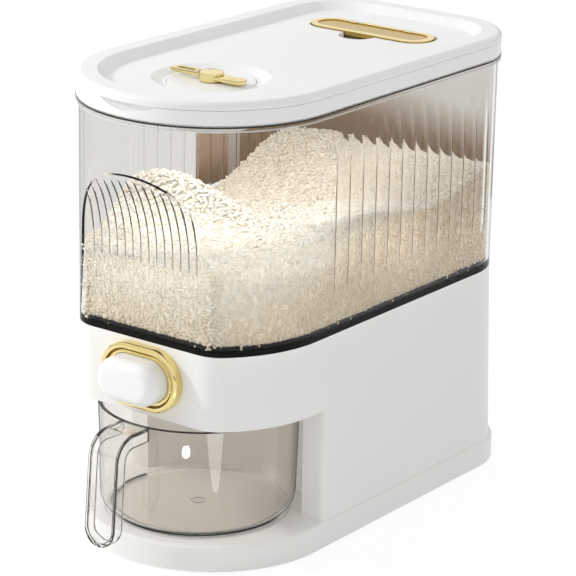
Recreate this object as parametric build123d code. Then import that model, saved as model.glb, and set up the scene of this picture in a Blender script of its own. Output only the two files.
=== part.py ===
"""A free-standing rice dispenser: a clear smoky tank on a white housing that overhangs a clear jug.

Millimetres. +X is to the right, +Y to the back, +Z up. The origin is on the ground, under the centre of
the half-round front. Pressing the button pushes a slotted gate back until it opens over the jug.
"""
import os
from math import atan2, cos, exp, pi, radians, sin, sqrt

from build123d import *

os.makedirs("parts", exist_ok=True)

# Plan of the tank: a half-round front, straight sides and two rounded back corners
tank_radius = 92.4
tank_back = 257.0
tank_corner = 54.0
facet = 73.0
facet_bend = 25.0
crisp_bend = 1.0
tank_wall = 2.5

# Plan of the housing where it meets the base, and its walls
foot_radius = tank_radius - 1.2
foot_back = tank_back + 5.0
foot_corner = tank_corner - 8.0
body_wall = 2.5
post_round = 5.0
lip = 1.2

# Base
base_radius = tank_radius
base_centre = 3.7
base_back = foot_back + 5.0
base_corner = foot_corner + 2.0
base_wall = 2.5
deck = 3.0
base_edge = 2.5
foot_height = 1.2
foot_pad = 8.0
foot_places = ((0, 0), (-60, -30), (60, -30), (-62, 222), (62, 222))

# Heights
base_top = 20.0
hood_bottom = 106.0
body_top = 160.0
seal_height = 4.0
tank_rim = 321.4
rim_thick = 1.2
collar_height = 10.0
lid_height = 6.0

# General clearances
part_gap = 0.3
fit_gap = 0.1
slide_gap = 0.2

# Jug and the bay that it stands in
jug_y = -12.0
jug_rim = 72.0
jug_side = 70.0
jug_floor = 59.0
jug_round = 13.0
jug_wall = 2.0
jug_top = 101.5
jug_stand = 0.3
bay_gap = 5.0
post_front = 16.0
groove_width = 2.0
groove_depth = 1.5
groove_out = 6.0

# Jug handle: a clear channel that leaves the rim and hangs down in front
handle_width = 26.0
handle_wall = 2.2
handle_flange = 10.0
handle_reach = 32.0
handle_lean = 8.0
handle_bend = 19.0
handle_end = 22.0

# Button, its bezel and the spring behind it
button_z = 134.5
button_width = 52.0
button_height = 31.0
button_out = 24.0
button_in = 4.0
button_round = 8.0
button_wall = 2.0
button_face = 4.0
stroke = 14.0
bezel_gap = 0.5
bezel_width = 68.0
bezel_height = 46.0
bezel_bead = 3.6
bezel_groove = 1.2
bezel_out = 7.5
bezel_step = 0.8
bezel_back = 4.8
spigot_wall = 1.5
spigot_depth = 3.5
spring_radius = 5.0
spring_wire = 0.9
spring_turns = 9
pin_radius = 3.2
boss_radius = 6.6
spring_seat = 56.0
pin_length = 12.0

# Hopper, gate and outlet
hopper_wall = 2.4
hopper_gap = 1.0
throat_radius = 22.0
throat_back = 14.0
throat_corner = 18.0
throat_z = 113.5
hopper_below = 20.0
shelf_z = 153.0
shelf_y = 58.0
throat_front = 38.0
slot_width = 40.0
slot_length = 12.0
gate_width = 50.0
gate_thick = 2.3
gate_front = 64.0
gate_length = 78.0
guide_width = 60.0
guide_front = 66.0
guide_back = 36.0
guide_floor = 1.5
spout_wall = 2.5
spout_bottom = 103.0
arm_width = 28.0
arm_thick = 2.5

# Collar, lid and seal
collar_out = 2.0
lid_out = 2.2
collar_in = 4.6
rim_out = 2.4
tank_above = 3.4
lid_wall = 2.2
lid_edge = 4.0
recess_top = 12.8
recess_foot = 18.9
recess_depth = 5.9
notch_half = 24.0
notch_depth = 5.4
notch_in = 3.6
liner_gap = 0.8
liner_thick = 2.0
liner_z = 322.0
liner_wall = 2.0
seal_thick = 2.0
lid_seal_height = 4.0

# Desiccant holder and its turning key, in a round dish near the front of the lid
dish_y = -1.5
dish_radius = 42.0
dish_foot = 34.5
dish_depth = 3.0
cap_radius = 31.0
cap_thick = 3.0
cup_wall = 1.6
cup_depth = 26.0
cup_flange = 3.0
skirt_depth = 6.4
ring_size = 2.0
hub_radius = 8.6
hub_height = 6.6
stem_radius = 3.0
key_arm = 35.0
paddle_arm = 29.0
clip_thick = 0.8

# Fold-up lid handle: an oblong plate in a pocket near the back of the lid
plate_y = 189.0
plate_length = 105.0
plate_width = 32.0
plate_thick = 2.6
plate_rim = 0.8
plate_proud = 0.4
plate_border = 5.0
pocket_gap = 0.8
pocket_depth = 4.6
pocket_wall = 1.2
pocket_slack = 2.4
lug_x = 25.0
lug_length = 6.0
lug_radius = 1.7
lug_inset = 3.0
ear_length = 2.6
ear_radius = 1.6
hinge_pin = 0.9
hinge_play = 0.06
finger_radius = 14.0
finger_ahead = 3.0

# Flutes moulded into the tank
flute_pitch = 15.7
flute_count = 12
flute_first = 28.0
flute_depth = 1.2
flute_radius = 25.9
flute_bottom = 186.0
flute_low = 205.0
flute_high = 268.0
flute_top = 308.0
arch_spring = 225.0
arch_curve = 90.5
rib_pitch = 7.0
rib_count = 14
rib_width = 1.2
rib_depth = 0.6
rib_bottom = 172.0

# Heap of rice: a leaning level plus hills and a dip, each with a place, a height and a spread
rice_level = 223.3
rice_lean = (0.047, -0.037)
hills = (
    (-50.5, 22.9, 50.0, 67.1, 27.0), (-75.6, 199.6, 26.8, 109.8, 61.3), (105.4, 58.0, 14.5, 38.8, 55.3),
    (76.7, 214.4, 16.6, 109.8, 36.7), (-40.6, 33.5, -21.6, 69.8, 105.0),
)
rice_gap = 4.4
rice_grid = 11

# Screws
screw_shank = 1.4
screw_hole = 1.5
screw_head = 2.9
screw_head_height = 1.8
post_radius = 4.2
base_screw_height = 34.0
base_screw_seat = 12.0
screw_inset = 5.2
screw_side = foot_radius - screw_inset
screw_back = foot_back - screw_inset
base_screws = (
    (-screw_side, 60), (screw_side, 60), (-screw_side, 175), (screw_side, 175), (-38, screw_back), (38, screw_back),
)
guide_screws = ((-27.6, -52), (27.6, -52), (-27.6, 30), (27.6, 30))
lid_screws = ((-62, 20), (62, 20), (-62, 150), (62, 150), (0, 232), (0, 80))
lid_screw_length = 7.0

# Heights and places that follow from the sizes above
tank_bottom = body_top + seal_height
collar_bottom = tank_rim + rim_thick
collar_top = collar_bottom + collar_height
lid_bottom = collar_top + part_gap
lid_top = lid_bottom + lid_height
floor_z = lid_top - recess_depth
floor_under = floor_z - lid_wall
bay_radius = jug_rim + bay_gap
flange_z = body_top - hopper_wall
cap_top = floor_z - dish_depth + 0.4
cap_bottom = cap_top - cap_thick
cup_top = cap_bottom - part_gap
plate_top = floor_z + plate_proud
plate_under = plate_top - plate_thick
hinge_z = (plate_top + plate_rim + plate_under) / 2
hinge_y = plate_y + plate_width / 2 - lug_inset
pocket_z = floor_z - pocket_depth
ear_reach = lug_length / 2 + slide_gap + ear_length
finger_y = plate_y - plate_width / 2 - finger_ahead
gate_z = hood_bottom + body_wall + guide_floor + slide_gap
guide_z = hood_bottom + body_wall
far = 400.0
up = (0, 0, 1)


def rise(face, height):
    """A straight wall raised from a level face."""
    return extrude(face, amount=height, dir=up)


def round_front(radius, centre):
    return [ThreePointArc((-radius, centre), (0, centre - radius), (radius, centre))]


def flat_front(radius, flat, bend):
    """A half circle cut by a flat facet, with the two corners rounded."""
    middle_y = bend - flat
    middle_x = sqrt((radius - bend) ** 2 - middle_y**2)
    scale = radius / (radius - bend)
    touch = (middle_x * scale, middle_y * scale)
    angle = (atan2(touch[1], touch[0]) - pi / 2) / 2
    halfway = (middle_x + bend * cos(angle), middle_y + bend * sin(angle))
    start = atan2(touch[1], touch[0]) / 2
    side = (radius * cos(start), radius * sin(start))
    return [
        ThreePointArc((-radius, 0), (-side[0], side[1]), (-touch[0], touch[1])),
        ThreePointArc((-touch[0], touch[1]), (-halfway[0], halfway[1]), (-middle_x, -flat)),
        Line((-middle_x, -flat), (middle_x, -flat)),
        ThreePointArc((middle_x, -flat), halfway, touch),
        ThreePointArc(touch, side, (radius, 0)),
    ]


def outline(radius, back, corner, z, centre=0.0, front=None):
    """The plan shape: a round or flattened front, straight sides and rounded back corners."""
    inset = corner * (1 - sqrt(0.5))
    front = front or round_front(radius, centre)
    right = Line((radius, centre), (radius, back - corner))
    right_bend = ThreePointArc((radius, back - corner), (radius - inset, back - inset), (radius - corner, back))
    rear = Line((radius - corner, back), (corner - radius, back))
    left_bend = ThreePointArc((corner - radius, back), (inset - radius, back - inset), (-radius, back - corner))
    left = Line((-radius, back - corner), (-radius, centre))
    return Pos(0, 0, z) * make_face([*front, right, right_bend, rear, left_bend, left])


def tank_outline(offset, z):
    return outline(tank_radius + offset, tank_back + offset, tank_corner + offset, z)


def facet_outline(offset, z, bend=facet_bend):
    """The tank's plan with its flat facet, moved out or in by an offset."""
    radius = tank_radius + offset
    front = flat_front(radius, facet + offset, bend + offset)
    return outline(radius, tank_back + offset, tank_corner + offset, z, front=front)


def base_outline(offset, z):
    return outline(base_radius + offset, base_back + offset, base_corner + offset, z, base_centre)


def throat_outline(offset, z):
    return outline(throat_radius + offset, throat_back + offset, throat_corner + offset, z, jug_y)


def body_outline(offset, z):
    """The housing's plan, which changes a little from its foot to the tank."""
    share = (z - base_top) / (body_top - base_top)
    radius = foot_radius + share * (tank_radius - foot_radius)
    back = foot_back + share * (tank_back - foot_back)
    corner = foot_corner + share * (tank_corner - foot_corner)
    front = flat_front(radius + offset, facet + offset, facet_bend + offset)
    return outline(radius + offset, back + offset, corner + offset, z, front=front)


def body_block(offset, low, high):
    return loft([body_outline(offset, low), body_outline(offset, high)], ruled=True)


def ring(outer, inner, low, high):
    """A band that follows the tank's plan, with its facet, between two offsets."""
    return rise(facet_outline(outer, low), high - low) - rise(facet_outline(inner, low - 1), high - low + 2)


def round_ring(outer, inner, low, high):
    """A band that follows the tank's plan with its front left round."""
    return rise(tank_outline(outer, low), high - low) - rise(tank_outline(inner, low - 1), high - low + 2)


def box(x0, x1, y0, y1, z0, z1):
    return Pos((x0 + x1) / 2, (y0 + y1) / 2, (z0 + z1) / 2) * Box(x1 - x0, y1 - y0, z1 - z0)


def side_shape(points, width):
    """A shape drawn in the side view, as wide as given and centred on X."""
    face = make_face(Polyline([(0, y, z) for y, z in points], close=True))
    return Pos(-width / 2, 0, 0) * extrude(face, amount=width, dir=(1, 0, 0))


def oblong(width, height, front, back, z):
    """A bar with round ends that runs along Y, centred on the button's axis."""
    sketch = Plane.XZ * SlotOverall(width, height)
    return Pos(0, back, z) * extrude(sketch, amount=back - front, dir=(0, -1, 0))


def flat_oblong(width, height, low, high, y):
    return Pos(0, y, low) * extrude(SlotOverall(width, height), amount=high - low, dir=up)


def rod(x, y, radius, low, high):
    return Pos(x, y, (low + high) / 2) * Cylinder(radius, high - low)


def rod_y(z, radius, front, back):
    return Pos(0, (front + back) / 2, z) * Rot(90, 0, 0) * Cylinder(radius, back - front)


def rod_x(x, y, z, radius, length):
    return Pos(x, y, z) * Rot(0, 90, 0) * Cylinder(radius, length)


def group(solids):
    """Separate solids that share a node."""
    return Compound(children=[solid for solid in solids])


# The base, its feet and its screws


def make_base():
    """A tray with a flat deck, a ring groove round the jug and tubes for the screws."""
    tray = rise(base_outline(0, foot_height), base_top - foot_height)
    top_edges = tray.edges().group_by(Axis.Z)[-1]
    tray = fillet(top_edges, base_edge)
    hollow = rise(base_outline(-base_wall, foot_height - 1), base_top - deck - foot_height + 1)
    for x, y in foot_places:
        hollow -= rod(x, y, foot_pad + 1, foot_height, base_top)
    for x, y in base_screws:
        hollow -= rod(x, y, post_radius + 1, foot_height, base_top)
    tray -= hollow
    inner = jug_floor + groove_out
    groove = rod(0, jug_y, inner + groove_width, base_top - groove_depth, base_top + 1)
    tray -= groove - rod(0, jug_y, inner, base_top - groove_depth, base_top + 1)
    for x, y in base_screws:
        tray -= rod(x, y, screw_hole, 0, base_top + 1)
        tray -= rod(x, y, screw_head + fit_gap, 0, base_screw_seat)
    return tray


def make_feet():
    return group([rod(x, y, foot_pad, 0, foot_height) for x, y in foot_places])


def screw(x, y, head_top, length, head_up=False):
    """A pan-head screw. Its head lies under the seat, or over it when the head is up."""
    if head_up:
        return rod(x, y, screw_head, head_top, head_top + screw_head_height) + rod(
            x, y, screw_shank, head_top - length, head_top
        )
    return rod(x, y, screw_head, head_top - screw_head_height, head_top) + rod(
        x, y, screw_shank, head_top, head_top + length
    )


def make_base_screws():
    length = base_screw_height - base_screw_seat
    return group([screw(x, y, base_screw_seat, length) for x, y in base_screws])


# The housing


def bay(offset):
    """The open space for the jug: a round wall behind it, and everything before the posts."""
    high = hood_bottom + offset
    space = rod(0, jug_y, bay_radius + offset, base_top - 1, high)
    return space + box(-far, far, -far, post_front + offset, base_top - 1, high)


def make_body():
    """The white shell with its overhanging hood, facet, side posts and screw tubes."""
    shell = body_block(0, base_top, body_top) - bay(0)
    corners = [
        edge
        for edge in shell.edges()
        if abs(edge.center().Y - post_front) < 0.5
        and abs(edge.center().X) > bay_radius + 5
        and edge.bounding_box().size.Z > 60
    ]
    shell = fillet(corners, post_round)
    inside = body_block(-body_wall, base_top - 1, body_top + 1) - bay(body_wall)
    shell -= inside
    shell -= body_block(-lip, flange_z, body_top + 1)
    tubes = [rod(x, y, post_radius, base_top, base_screw_height + 6) for x, y in base_screws]
    for tube in tubes:
        shell += tube & body_block(-body_wall / 2, base_top, body_top)
    for x, y in base_screws:
        shell -= rod(x, y, screw_hole, base_top - 1, base_screw_height + 3)
    spout = (slot_width / 2 + spout_wall + fit_gap, slot_length / 2 + spout_wall + fit_gap)
    shell -= box(-spout[0], spout[0], jug_y - spout[1], jug_y + spout[1], hood_bottom - 1, guide_z + 1)
    spigot = 2 * (spigot_wall + bezel_gap + fit_gap)
    shell -= oblong(button_width + spigot, button_height + spigot, -far / 2, body_wall - facet + 1, button_z)
    for x, y in guide_screws:
        shell -= rod(x, y, screw_hole, hood_bottom + 0.5, guide_z + 1)
    return shell


# The hopper, the gate and its guide


def hopper_front(offset):
    """The space before the hopper: a shelf that tips in from the facet, then a steep slope."""
    shelf_in = offset - shelf_y
    lean = (shelf_y - throat_front) / (shelf_z - throat_z)
    points = (
        (-far, throat_z - hopper_below),
        (offset * 1.1 - throat_front + hopper_below * lean, throat_z - hopper_below),
        (shelf_in, shelf_z + offset),
        (-facet - 5, shelf_z + offset + 4),
        (-far, shelf_z + offset + 4),
    )
    return side_shape(points, 2 * far)


def hopper_block(offset, lift):
    """The funnel's outside, or its inside when it is drawn in and lifted by the wall."""
    edge = -body_wall - hopper_gap - offset
    cone = loft([throat_outline(-offset, throat_z + lift), tank_outline(edge, flange_z + lift)], ruled=True)
    return (cone & rise(facet_outline(edge, throat_z - 1), far)) - hopper_front(offset)


def make_hopper():
    """A funnel that leads the rice to the gate, with a rim that the tank presses down."""
    rim_edge = -lip - slide_gap
    flange = rise(facet_outline(rim_edge, flange_z), hopper_wall)
    inside = hopper_block(hopper_wall, hopper_wall)
    over_edge = -body_wall - hopper_gap - hopper_wall
    mouth = rise(facet_outline(over_edge, flange_z), 2 * hopper_wall)
    funnel = hopper_block(0, 0) + flange
    seat = rod_y(button_z, boss_radius, -spring_seat, -throat_front) - hopper_block(hopper_wall / 2, hopper_wall)
    pin = rod_y(button_z, pin_radius, -spring_seat - pin_length, -spring_seat)
    funnel += seat & box(-far, far, -spring_seat, -shelf_y + 12, 0, far)
    funnel += pin
    funnel -= inside
    funnel -= mouth & box(-far, far, -facet + body_wall + hopper_gap + hopper_wall, far, flange_z, far)
    throat = rise(throat_outline(-hopper_wall, throat_z - 1), hopper_wall + 1.5)
    return funnel - throat


def make_gate_guide():
    """The track under the hopper, with one slot through it and a short spout over the jug."""
    half = guide_width / 2
    block = box(-half, half, -guide_front, guide_back, guide_z, throat_z)
    track = gate_width / 2 + slide_gap
    track_top = gate_z + gate_thick + slide_gap
    block -= box(-track, track, -guide_front - 1, guide_back - 2, gate_z - slide_gap, track_top)
    open_top = stroke - gate_front + arm_thick + 2
    block -= box(-track, track, -guide_front - 1, open_top, gate_z - slide_gap, throat_z + 1)
    wide = slot_width / 2
    deep = slot_length / 2
    block += box(
        -wide - spout_wall, wide + spout_wall, jug_y - deep - spout_wall, jug_y + deep + spout_wall,
        spout_bottom, guide_z + guide_floor / 2,
    )
    block -= box(-wide, wide, jug_y - deep, jug_y + deep, spout_bottom - 1, throat_z + 1)
    for x, y in guide_screws:
        block -= rod(x, y, screw_hole, guide_z - 1, throat_z + 1)
    return block


def make_guide_screws():
    length = throat_z - hood_bottom - 0.8
    return group([screw(x, y, throat_z, length, head_up=True) for x, y in guide_screws])


def make_gate():
    """A flat slider whose slot lies one stroke in front of the outlet at rest."""
    back = gate_length - gate_front
    plate = box(-gate_width / 2, gate_width / 2, -gate_front, back, gate_z, gate_z + gate_thick)
    centre = jug_y - stroke
    return plate - box(
        -slot_width / 2, slot_width / 2, centre - slot_length / 2, centre + slot_length / 2,
        gate_z - 1, gate_z + gate_thick + 1,
    )


def make_push_arm():
    """A bent arm from inside the button down to the front of the gate."""
    half = arm_width / 2
    tongue_z = button_z - button_height / 2 + button_wall + 2
    front = -facet - button_out + button_face
    tongue = box(-half, half, front, -gate_front + arm_thick, tongue_z, tongue_z + arm_thick)
    web = box(-half, half, -gate_front, -gate_front + arm_thick, gate_z + gate_thick, tongue_z + arm_thick)
    return tongue + web


# The button and its bezel


def make_button():
    """A hollow pillow-shaped button with softly rounded front edges."""
    front = -facet - button_out
    back = -facet - button_in
    cap = oblong(button_width, button_height, front, back, button_z)
    cap = fillet(cap.edges().group_by(Axis.Y)[0], button_round)
    wall = 2 * button_wall
    cap -= oblong(button_width - wall, button_height - wall, front + button_face, back + 1, button_z)
    return cap


def make_bezel():
    """A bright oblong ring of two beads with a groove between, and a sleeve through the facet."""
    gap = 2 * bezel_gap
    rim = 2 * bezel_bead
    inset = rim + 2 * bezel_groove
    front = -facet - bezel_out
    bottom = -facet - bezel_back
    outer = oblong(bezel_width, bezel_height, front, -facet, button_z)
    outer = fillet(outer.edges().group_by(Axis.Y)[0], bezel_bead / 2 - fit_gap)
    groove = oblong(bezel_width - rim, bezel_height - rim, -far, bottom, button_z)
    inner = oblong(bezel_width - inset, bezel_height - inset, front + bezel_step, bottom, button_z)
    inner = fillet(inner.edges().group_by(Axis.Y)[0], bezel_groove)
    wall = 2 * (bezel_gap + spigot_wall)
    sleeve = oblong(button_width + wall, button_height + wall, -facet - 1, -facet + spigot_depth, button_z)
    hole = oblong(button_width + gap, button_height + gap, -far / 2, 0, button_z)
    return outer - groove + inner + sleeve - hole


def spring_point(turn):
    """A point on the spring's centre line, and its direction there, after some turns."""
    angle = 2 * pi * turn
    pitch = spring_length / spring_turns
    place = Vector(spring_radius * cos(angle), spring_front + pitch * turn, button_z + spring_radius * sin(angle))
    heading = Vector(-2 * pi * spring_radius * sin(angle), pitch, 2 * pi * spring_radius * cos(angle))
    return place, heading.normalized()


def biarc(start, start_way, end, end_way):
    """Two arcs that join two points, smooth at both ends and where they meet."""
    chord = end - start
    ways = start_way + end_way
    along = chord.dot(ways)
    bend = 2 * (1 - start_way.dot(end_way))
    reach = (-along + sqrt(along * along + bend * chord.dot(chord))) / bend
    middle = (start + end + (start_way - end_way) * reach) * 0.5
    first = TangentArc(start, middle, tangent=start_way)
    second = TangentArc(end, middle, tangent=end_way * -1)
    return first, second


spring_front = -facet - button_out + button_face + spring_wire / 2
spring_length = -spring_seat - spring_wire / 2 - spring_front


def make_spring():
    """A compression spring round its guide pin, between the button and the hopper."""
    edges = []
    for quarter in range(4 * spring_turns):
        start, start_way = spring_point(quarter / 4)
        end, end_way = spring_point((quarter + 1) / 4)
        edges.extend(biarc(start, start_way, end, end_way))
    path = Wire(edges)
    place, heading = spring_point(0)
    section = Plane(origin=place, z_dir=heading) * Circle(spring_wire / 2)
    print("spring gap between turns", round(spring_length / spring_turns - spring_wire, 2))
    return sweep(section, path=path)


# The jug


def jug_block(inset):
    """The jug's outer shape as a solid of revolution, or its hollow when drawn in."""
    floor_at = base_top + jug_stand + inset
    side = jug_side - inset
    bend = jug_round - inset
    inner = side - bend
    middle = bend * (1 - sqrt(0.5))
    lip_top = jug_top + inset
    base_line = Line((0, floor_at), (inner, floor_at))
    curve = ThreePointArc((inner, floor_at), (side - middle, floor_at + middle), (side, floor_at + bend))
    wall = Line((side, floor_at + bend), (jug_rim - inset, lip_top))
    top = Line((jug_rim - inset, lip_top), (0, lip_top))
    axis_line = Line((0, lip_top), (0, floor_at))
    face = Plane.XZ * make_face([base_line, curve, wall, top, axis_line])
    return Pos(0, jug_y, 0) * revolve(face, Axis.Z)


def make_jug_bowl():
    """A clear round bowl with a slightly flared wall and a small ring mark on its floor."""
    bowl = jug_block(0) - jug_block(jug_wall)
    floor_at = base_top + jug_stand + jug_wall
    mark = rod(0, jug_y, 5.5, floor_at - 0.4, floor_at + 1) - rod(0, jug_y, 4.3, floor_at - 0.4, floor_at + 1)
    return bowl - mark


def handle_solid(inset):
    """The handle as a bar that follows its bend, cut to a round tip."""
    y_rim = jug_y - jug_rim
    depth = handle_flange + inset
    start = (0, y_rim + 5, jug_top - inset)
    knee = (0, y_rim - handle_reach + inset, jug_top - inset)
    toe = (0, y_rim - handle_reach - handle_lean + inset, handle_end - 20)
    outer = FilletPolyline(start, knee, toe, radius=handle_bend - inset)
    inner_start = (0, y_rim + 5, jug_top - handle_flange - inset)
    inner_knee = (0, y_rim - handle_reach + depth - 1, jug_top - handle_flange - inset)
    inner_toe = (0, y_rim - handle_reach - handle_lean + depth, handle_end - 20)
    inner = FilletPolyline(inner_start, inner_knee, inner_toe, radius=handle_bend - handle_flange)
    face = make_face([*outer.edges(), Line(start, inner_start), *inner.edges(), Line(toe, inner_toe)])
    half = handle_width / 2 - inset
    bar = Pos(-half, 0, 0) * extrude(face, amount=2 * half, dir=(1, 0, 0))
    tip = handle_end + handle_width / 2
    outline_face = Plane.XZ * (Pos(0, (tip + far) / 2) * Rectangle(2 * half, far - tip) + Pos(0, tip) * Circle(half))
    return bar & (extrude(outline_face, amount=far, dir=(0, -1, 0)))


def make_jug_handle():
    """A clear channel: a face plate with two flanges that point to the jug."""
    channel = handle_solid(0) - handle_solid(handle_wall)
    return channel - rod(0, jug_y, jug_rim + fit_gap, 0, jug_top + 5)


# The tank


def scoop(offset):
    """The space before the facet and its arched top, which curves out to the round front."""
    wall_y = offset - facet
    curve = arch_curve + offset
    centre = -facet - arch_curve
    turn = radians(44)
    middle = (centre + curve * cos(turn / 2), arch_spring + curve * sin(turn / 2))
    end = (centre + curve * cos(turn), arch_spring + curve * sin(turn))
    upright = Line((0, wall_y, 0), (0, wall_y, arch_spring))
    arc = ThreePointArc((0, wall_y, arch_spring), (0, *middle), (0, *end))
    over = Line((0, *end), (0, -far, end[1]))
    down = Line((0, -far, end[1]), (0, -far, 0))
    under = Line((0, -far, 0), (0, wall_y, 0))
    return make_face([upright, arc, over, down, under])


def scoop_block(offset, width=2 * far, x=0.0):
    return Pos(x - width / 2, 0, 0) * extrude(scoop(offset), amount=width, dir=(1, 0, 0))


def flute_cutter(x, y):
    """A slender spindle that bites a shallow flute, pointed at both ends, out of a side wall."""
    thin = flute_radius - flute_depth
    below = TangentArc((flute_radius, flute_low), (thin, flute_bottom), tangent=(0, -1))
    middle = Line((flute_radius, flute_low), (flute_radius, flute_high))
    above = TangentArc((flute_radius, flute_high), (thin, flute_top), tangent=(0, 1))
    rest = Polyline((thin, flute_top), (0, flute_top), (0, flute_bottom), (thin, flute_bottom))
    face = Plane.XZ * make_face([below, middle, above, *rest.edges()])
    side = 1 if x > 0 else -1
    return Pos(x + side * thin, y, 0) * revolve(face, Axis.Z)


def tank_block(offset, low, high):
    """The tank as a solid. The facet's rounded corners sharpen towards the arch."""
    foot = facet_outline(offset, low)
    waist = facet_outline(offset, arch_spring, crisp_bend - offset)
    upper = rise(tank_outline(offset, arch_spring), high - arch_spring) - scoop_block(-offset)
    return loft([foot, waist], ruled=True) + upper


def make_tank():
    """The clear tank: a straight wall, a rim, an arched facet with ribs, and side flutes."""
    high = collar_bottom + tank_above
    outside = tank_block(0, tank_bottom, high)
    inside = tank_block(-tank_wall, tank_bottom - 1, high + 1)
    outside += rise(tank_outline(rim_out, tank_rim), rim_thick)
    for i in range(flute_count):
        y = flute_first + i * flute_pitch
        outside -= flute_cutter(tank_radius, y)
        outside -= flute_cutter(-tank_radius, y)
    for i in range(rib_count):
        x = (i - (rib_count - 1) / 2) * rib_pitch
        slit = scoop_block(rib_depth, rib_width, x)
        outside -= slit & box(-far, far, -far, 0, rib_bottom, arch_spring + 48)
    return outside - inside


def make_tank_seal():
    """A glossy black gasket under the tank, with an inner lip that centres it."""
    step = tank_wall + fit_gap
    base = ring(0.0, -step - 1.4, body_top, tank_bottom)
    return base + ring(-step, -step - 1.4, body_top, tank_bottom + 3)


def make_collar():
    """A white frame over the tank's mouth, with a thumb notch at the front."""
    solid_from = collar_bottom + tank_above + part_gap
    top = round_ring(collar_out, -collar_in, solid_from, collar_top)
    outer = round_ring(collar_out, part_gap, collar_bottom, solid_from)
    inner = round_ring(-tank_wall - part_gap, -collar_in, collar_bottom - 2, solid_from)
    frame = top + outer + inner
    swing = (notch_half**2 + notch_depth**2) / (2 * notch_depth)
    cutter = rod_y(collar_top - notch_depth + swing, swing, -far / 2, -tank_radius - collar_out + notch_in)
    return frame - (cutter & box(-notch_half, notch_half, -far, 0, 0, far))


# The rice


def heap(x, y):
    """Height of the rice at a point: a leaning level with hills on it."""
    return rice_level + rice_lean[0] * x + rice_lean[1] * y + sum(
        high * exp(-(((x - at_x) / wide_x) ** 2) - ((y - at_y) / wide_y) ** 2)
        for at_x, at_y, high, wide_x, wide_y in hills
    )


def make_rice():
    """A heap of rice that fills the hopper and the lower tank."""
    reach = tank_radius + 8
    step_x = 2 * reach / (rice_grid - 1)
    step_y = (tank_back + reach + 8) / (rice_grid + 3)
    rows = []
    for i in range(rice_grid):
        x = -reach + i * step_x
        rows.append([Vector(x, -reach + j * step_y, heap(x, -reach + j * step_y)) for j in range(rice_grid + 4)])
    surface = Face.make_surface_from_array_of_points(rows)
    under_heap = extrude(surface, amount=far, dir=(0, 0, -1))
    column = rise(facet_outline(-rice_gap, body_top + part_gap), 120) - scoop_block(rice_gap)
    funnel = hopper_block(hopper_wall + part_gap, hopper_wall + part_gap)
    edge = -body_wall - hopper_gap - hopper_wall - part_gap
    mouth = rise(facet_outline(edge, body_top - 0.1), 0.8)
    return (column + funnel + mouth) & under_heap


# The lid


def pocket(wall, low, high):
    """The sunken space for the handle, its hinge and a fingertip, or the walls round it."""
    around = 2 * (pocket_gap + wall)
    length = plate_length + around
    width = plate_width + around
    space = flat_oblong(length, width, low, high, plate_y)
    space += flat_oblong(length, width, low, high, plate_y + pocket_slack)
    straight = (length - width) / 2
    space += box(-length / 2, length / 2, plate_y, plate_y + pocket_slack, low, high)
    space += box(-straight, straight, plate_y, plate_y + pocket_slack + width / 2, low, high)
    return space + rod(0, finger_y, finger_radius + wall, low, high)


def ears():
    """Two round-topped ears beside each hinge lug."""
    parts = []
    for side in (-1, 1):
        for end in (-1, 1):
            x = side * lug_x + end * (ear_reach - ear_length / 2)
            ear = rod_x(x, hinge_y, hinge_z, ear_radius, ear_length)
            ear += box(
                x - ear_length / 2, x + ear_length / 2, hinge_y - ear_radius, hinge_y + ear_radius,
                pocket_z - pocket_wall / 2, hinge_z,
            )
            parts.append(ear)
    return Part() + parts


def make_lid_cover():
    """The white cover: a rounded rim, a sunken floor, a round dish and a pocket for the handle."""
    block = rise(tank_outline(lid_out, lid_bottom), lid_height)
    block = fillet(block.edges().group_by(Axis.Z)[-1], lid_edge)
    hollow = rise(tank_outline(0.0, lid_bottom - 1), lid_height - lid_wall + 1)
    block -= hollow
    slope = (recess_foot - recess_top) / recess_depth
    deep = recess_depth + lid_wall
    plug = loft(
        [
            tank_outline(lid_wall - recess_top + 0.4, lid_top - 0.5),
            tank_outline(lid_wall - recess_top - slope * deep, lid_top - deep),
        ],
        ruled=True,
    )
    recess = loft(
        [tank_outline(-recess_top + slope, lid_top + 1), tank_outline(-recess_foot, floor_z)], ruled=True
    )
    cover = block + plug
    cover += rod(0, dish_y, dish_radius + lid_wall, cup_top + part_gap, floor_under + 0.5)
    cover += pocket(pocket_wall, pocket_z - pocket_wall, floor_under + 0.5)
    for x, y in lid_screws:
        cover += rod(x, y, post_radius, liner_z + liner_thick, floor_under + 0.5)
    cover -= recess
    cone = Pos(0, dish_y, floor_z - dish_depth / 2) * Cone(dish_foot, dish_radius, dish_depth)
    cover -= cone + rod(0, dish_y, cap_radius + part_gap + fit_gap, 0, far)
    cover -= pocket(0, pocket_z, floor_z + 1)
    cover += ears() - rod_x(0, hinge_y, hinge_z, hinge_pin, far)
    for x, y in lid_screws:
        cover -= rod(x, y, screw_hole, liner_z, floor_under + 0.3)
    return cover


def make_lid_liner():
    """The inner plate of the lid, with an upstand that carries the seal."""
    edge = -collar_in - liner_gap
    wall_at = -collar_in - part_gap - seal_thick
    liner = rise(tank_outline(edge, liner_z), liner_thick)
    liner += round_ring(wall_at, wall_at - liner_wall, liner_z + liner_thick, lid_top - lid_wall)
    liner -= rod(0, dish_y, cap_radius - part_gap, 0, far)
    for x, y in lid_screws:
        liner -= rod(x, y, screw_hole, 0, far)
    return liner


def make_lid_screws():
    return group([screw(x, y, liner_z, lid_screw_length) for x, y in lid_screws])


def make_lid_seal():
    inner = -collar_in - part_gap - seal_thick
    low = liner_z + liner_thick
    return round_ring(-collar_in - part_gap, inner, low, low + lid_seal_height)


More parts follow.
